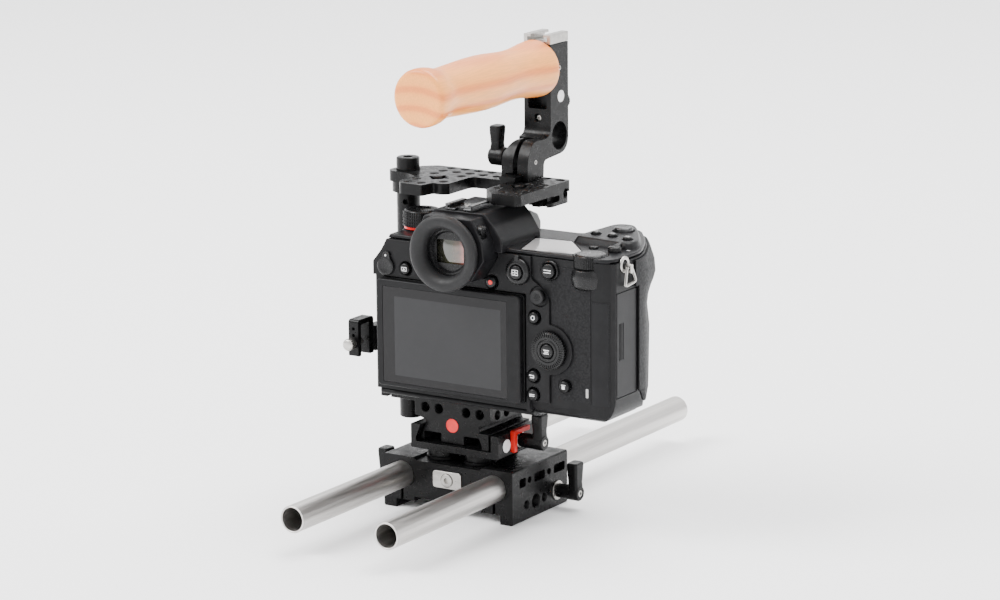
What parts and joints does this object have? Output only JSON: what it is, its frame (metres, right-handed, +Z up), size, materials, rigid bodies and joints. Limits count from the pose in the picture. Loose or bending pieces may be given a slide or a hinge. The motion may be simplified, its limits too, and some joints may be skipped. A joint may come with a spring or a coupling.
{
  "type": "cinema camera rig",
  "caption": "Mirrorless camera in a half cage with a wooden top handle, on a quick-release base clamp riding on two parallel support rods.",
  "frame": {"origin": "centre of the underside of the bounding box at rest, on the surface that the base clamp stands on", "axes": "+Y along the rods from the operator towards the lens, +X to the operator's right, +Z up"},
  "size_m": [0.1738, 0.3048, 0.26],
  "materials": {
    "black_anodised": "fine bead-blasted black anodising",
    "rod_steel": "brushed lengthwise",
    "bright_metal": "satin nickel",
    "red_anodised": "satin red anodising",
    "maple": "satin lacquer over open grain",
    "camera_body": "fine textured paint",
    "control_black": "satin",
    "soft_rubber": "matt",
    "screen_glass": "gloss with anti-reflection tint",
    "optic_glass": "coated optical glass",
    "circuit_board": "solder mask"
  },
  "bodies": {
    "base": {"base_block": "black_anodised", "base_lock_plate": "bright_metal", "riser": "black_anodised", "clamp_tray": "black_anodised"},
    "left_rod": {"rod_left": "rod_steel"},
    "right_rod": {"rod_right": "rod_steel"},
    "left_rod_lever": {"rod_lever_left": "black_anodised"},
    "right_rod_lever": {"rod_lever_right": "black_anodised"},
    "tray_jaw": {"clamp_jaw": "black_anodised"},
    "tray_lever": {"quick_release_lever": "black_anodised"},
    "catch": {"safety_catch": "red_anodised"},
    "carriage": {"quick_plate": "black_anodised", "camera_screw": "rod_steel", "cage_base_bar": "black_anodised", "cage_post": "black_anodised", "cable_bracket": "black_anodised", "front_shell": "camera_body", "rear_shell": "camera_body", "bottom_plate": "camera_body", "top_cover": "camera_body", "eyecup": "soft_rubber", "eyepiece_lens": "optic_glass", "hot_shoe": "bright_metal", "lens_mount": "rod_steel", "image_sensor": "optic_glass", "main_board": "circuit_board", "battery": "soft_rubber"},
    "cage_top": {"cage_top_plate": "black_anodised"},
    "handle": {"handle_post": "black_anodised", "wood_grip": "maple", "grip_bolt": "rod_steel", "accessory_shoe": "bright_metal"},
    "handle_clamp_jaw": {"handle_jaw": "black_anodised"},
    "handle_clamp_lever": {"handle_lever": "black_anodised"},
    "handle_screw": {"handle_knob": "black_anodised"},
    "cable_thumb_screw": {"cable_screw": "bright_metal"},
    "battery_flap": {"battery_door": "camera_body"},
    "card_flap": {"card_door": "camera_body"},
    "monitor_tilter": {"monitor_frame": "camera_body"},
    "monitor": {"monitor_panel": "screen_glass"},
    "rear_wheel": {"control_dial": "control_black"},
    "rear_wheel_button": {"control_dial_button": "control_black"},
    "stick": {"joystick": "soft_rubber"},
    "mode_ring": {"af_mode_lever": "control_black"},
    "mode_button": {"af_mode_button": "control_black"},
    "thumb_wheel": {"rear_dial": "control_black"},
    "drive_wheel": {"drive_dial": "control_black"},
    "power_switch": {"power_lever": "control_black"},
    "shutter_release": {"shutter_button": "bright_metal"},
    "strap_loop": {"strap_ring": "bright_metal"},
    "record_button_cap": {"record_button": "control_black"},
    "af_on_button_cap": {"af_on_button": "control_black"},
    "quick_menu_button_cap": {"quick_menu_button": "control_black"},
    "back_button_cap": {"back_button": "control_black"},
    "display_button_cap": {"display_button": "control_black"},
    "delete_button_cap": {"delete_button": "control_black"},
    "playback_button_cap": {"playback_button": "control_black"},
    "white_balance_button_cap": {"white_balance_button": "control_black"},
    "iso_button_cap": {"iso_button": "control_black"},
    "exposure_button_cap": {"exposure_button": "control_black"}
  },
  "joints": [
    {"name": "left_rod_slide", "type": "slide", "parent": "base", "child": "left_rod", "axis": [0, 1, 0], "range_m": [-0.08, 0.08]},
    {"name": "right_rod_slide", "type": "slide", "parent": "base", "child": "right_rod", "axis": [0, 1, 0], "range_m": [-0.08, 0.08]},
    {"name": "left_rod_lever_turn", "type": "hinge", "parent": "base", "child": "left_rod_lever", "pos_m": [-0.07735, -0.0284, 0.0095], "axis": [1, 0, 0], "range_deg": [-90, 90]},
    {"name": "right_rod_lever_turn", "type": "hinge", "parent": "base", "child": "right_rod_lever", "pos_m": [0.02265, -0.0024, 0.0095], "axis": [1, 0, 0], "range_deg": [-90, 90]},
    {"name": "tray_lever_turn", "type": "hinge", "parent": "base", "child": "tray_lever", "pos_m": [0.01265, -0.0254, 0.0425], "axis": [1, 0, 0], "range_deg": [0, 90]},
    {"name": "tray_jaw_slide", "type": "slide", "parent": "base", "child": "tray_jaw", "axis": [1, 0, 0], "range_m": [0, 0.0015]},
    {"name": "catch_slide", "type": "slide", "parent": "base", "child": "catch", "axis": [0, 1, 0], "range_m": [0, 0.0025], "stiffness_N_per_m": 150},
    {"name": "carriage_slide", "type": "slide", "parent": "base", "child": "carriage", "axis": [0, 1, 0], "range_m": [-0.025, 0.025]},
    {"name": "cage_height", "type": "slide", "parent": "carriage", "child": "cage_top", "axis": [0, 0, 1], "range_m": [0, 0.006]},
    {"name": "handle_slide", "type": "slide", "parent": "cage_top", "child": "handle", "axis": [0, 1, 0], "range_m": [-0.008, 0.008]},
    {"name": "handle_lever_turn", "type": "hinge", "parent": "handle", "child": "handle_clamp_lever", "pos_m": [-0.02235, -0.0034, 0.194], "axis": [1, 0, 0], "range_deg": [0, 90]},
    {"name": "handle_jaw_slide", "type": "slide", "parent": "handle", "child": "handle_clamp_jaw", "axis": [-1, 0, 0], "range_m": [0, 0.001]},
    {"name": "handle_screw_turn", "type": "hinge", "parent": "handle", "child": "handle_screw", "pos_m": [-0.00685, 0.0326, 0.2195], "axis": [0, 1, 0], "continuous": true},
    {"name": "cable_screw_slide", "type": "slide", "parent": "carriage", "child": "cable_thumb_screw", "axis": [0, 1, 0], "range_m": [-0.004, 0.0007]},
    {"name": "battery_door_hinge", "type": "hinge", "parent": "carriage", "child": "battery_flap", "pos_m": [0.04695, -0.0224, 0.0661], "axis": [0, 1, 0], "range_deg": [0, 100]},
    {"name": "card_door_hinge", "type": "hinge", "parent": "carriage", "child": "card_flap", "pos_m": [0.08295, -0.0326, 0.1095], "axis": [0, 0, 1], "range_deg": [0, 100]},
    {"name": "monitor_tilt", "type": "hinge", "parent": "carriage", "child": "monitor_tilter", "pos_m": [-0.01735, -0.0599, 0.1313], "axis": [-1, 0, 0], "range_deg": [0, 45]},
    {"name": "monitor_swing", "type": "hinge", "parent": "monitor_tilter", "child": "monitor", "pos_m": [-0.06315, -0.0624, 0.1025], "axis": [0, 0, -1], "range_deg": [0, 180]},
    {"name": "rear_wheel_spin", "type": "hinge", "parent": "carriage", "child": "rear_wheel", "pos_m": [0.04555, -0.0614, 0.1046], "axis": [0, 1, 0], "continuous": true},
    {"name": "mode_ring_turn", "type": "hinge", "parent": "carriage", "child": "mode_ring", "pos_m": [0.02625, -0.0604, 0.1451], "axis": [0, 1, 0], "range_deg": [-30, 30]},
    {"name": "thumb_wheel_spin", "type": "hinge", "parent": "carriage", "child": "thumb_wheel", "pos_m": [0.06545, -0.0499, 0.1535], "axis": [0, 0, 1], "continuous": true},
    {"name": "drive_wheel_spin", "type": "hinge", "parent": "carriage", "child": "drive_wheel", "pos_m": [-0.04835, -0.0384, 0.1625], "axis": [0, 0, 1], "continuous": true},
    {"name": "power_switch_turn", "type": "hinge", "parent": "carriage", "child": "power_switch", "pos_m": [0.07205, -0.0364, 0.1575], "axis": [0, 0, 1], "range_deg": [-30, 30]},
    {"name": "strap_loop_swing", "type": "hinge", "parent": "carriage", "child": "strap_loop", "pos_m": [0.08505, -0.0434, 0.1505], "axis": [0, -1, 0], "range_deg": [0, 90]},
    {"name": "rear_wheel_button_press", "type": "slide", "parent": "carriage", "child": "rear_wheel_button", "axis": [0, 1, 0], "range_m": [0, 0.0007], "stiffness_N_per_m": 200},
    {"name": "stick_press", "type": "slide", "parent": "carriage", "child": "stick", "axis": [0, 1, 0], "range_m": [0, 0.0006], "stiffness_N_per_m": 200},
    {"name": "mode_button_press", "type": "slide", "parent": "carriage", "child": "mode_button", "axis": [0, 1, 0], "range_m": [0, 0.0007], "stiffness_N_per_m": 200},
    {"name": "shutter_press", "type": "slide", "parent": "carriage", "child": "shutter_release", "axis": [0, 0, -1], "range_m": [0, 0.0012], "stiffness_N_per_m": 200},
    {"name": "record_button_press", "type": "slide", "parent": "carriage", "child": "record_button_cap", "axis": [0, 1, 0], "range_m": [0, 0.0007], "stiffness_N_per_m": 200},
    {"name": "af_on_button_press", "type": "slide", "parent": "carriage", "child": "af_on_button_cap", "axis": [0, 1, 0], "range_m": [0, 0.0007], "stiffness_N_per_m": 200},
    {"name": "quick_menu_button_press", "type": "slide", "parent": "carriage", "child": "quick_menu_button_cap", "axis": [0, 1, 0], "range_m": [0, 0.0007], "stiffness_N_per_m": 200},
    {"name": "back_button_press", "type": "slide", "parent": "carriage", "child": "back_button_cap", "axis": [0, 1, 0], "range_m": [0, 0.0007], "stiffness_N_per_m": 200},
    {"name": "display_button_press", "type": "slide", "parent": "carriage", "child": "display_button_cap", "axis": [0, 1, 0], "range_m": [0, 0.0007], "stiffness_N_per_m": 200},
    {"name": "delete_button_press", "type": "slide", "parent": "carriage", "child": "delete_button_cap", "axis": [0, 1, 0], "range_m": [0, 0.0007], "stiffness_N_per_m": 200},
    {"name": "playback_button_press", "type": "slide", "parent": "carriage", "child": "playback_button_cap", "axis": [0, 1, 0], "range_m": [0, 0.0007], "stiffness_N_per_m": 200},
    {"name": "white_balance_button_press", "type": "slide", "parent": "carriage", "child": "white_balance_button_cap", "axis": [0, 0, -1], "range_m": [0, 0.0008], "stiffness_N_per_m": 200},
    {"name": "iso_button_press", "type": "slide", "parent": "carriage", "child": "iso_button_cap", "axis": [0, 0, -1], "range_m": [0, 0.0008], "stiffness_N_per_m": 200},
    {"name": "exposure_button_press", "type": "slide", "parent": "carriage", "child": "exposure_button_cap", "axis": [0, 0, -1], "range_m": [0, 0.0008], "stiffness_N_per_m": 200}
  ],
  "couplings": [
    {"joint": "tray_lever_turn", "follows": "tray_jaw_slide", "rad_per_m": 1047},
    {"joint": "handle_lever_turn", "follows": "handle_jaw_slide", "rad_per_m": 1570}
  ]
}
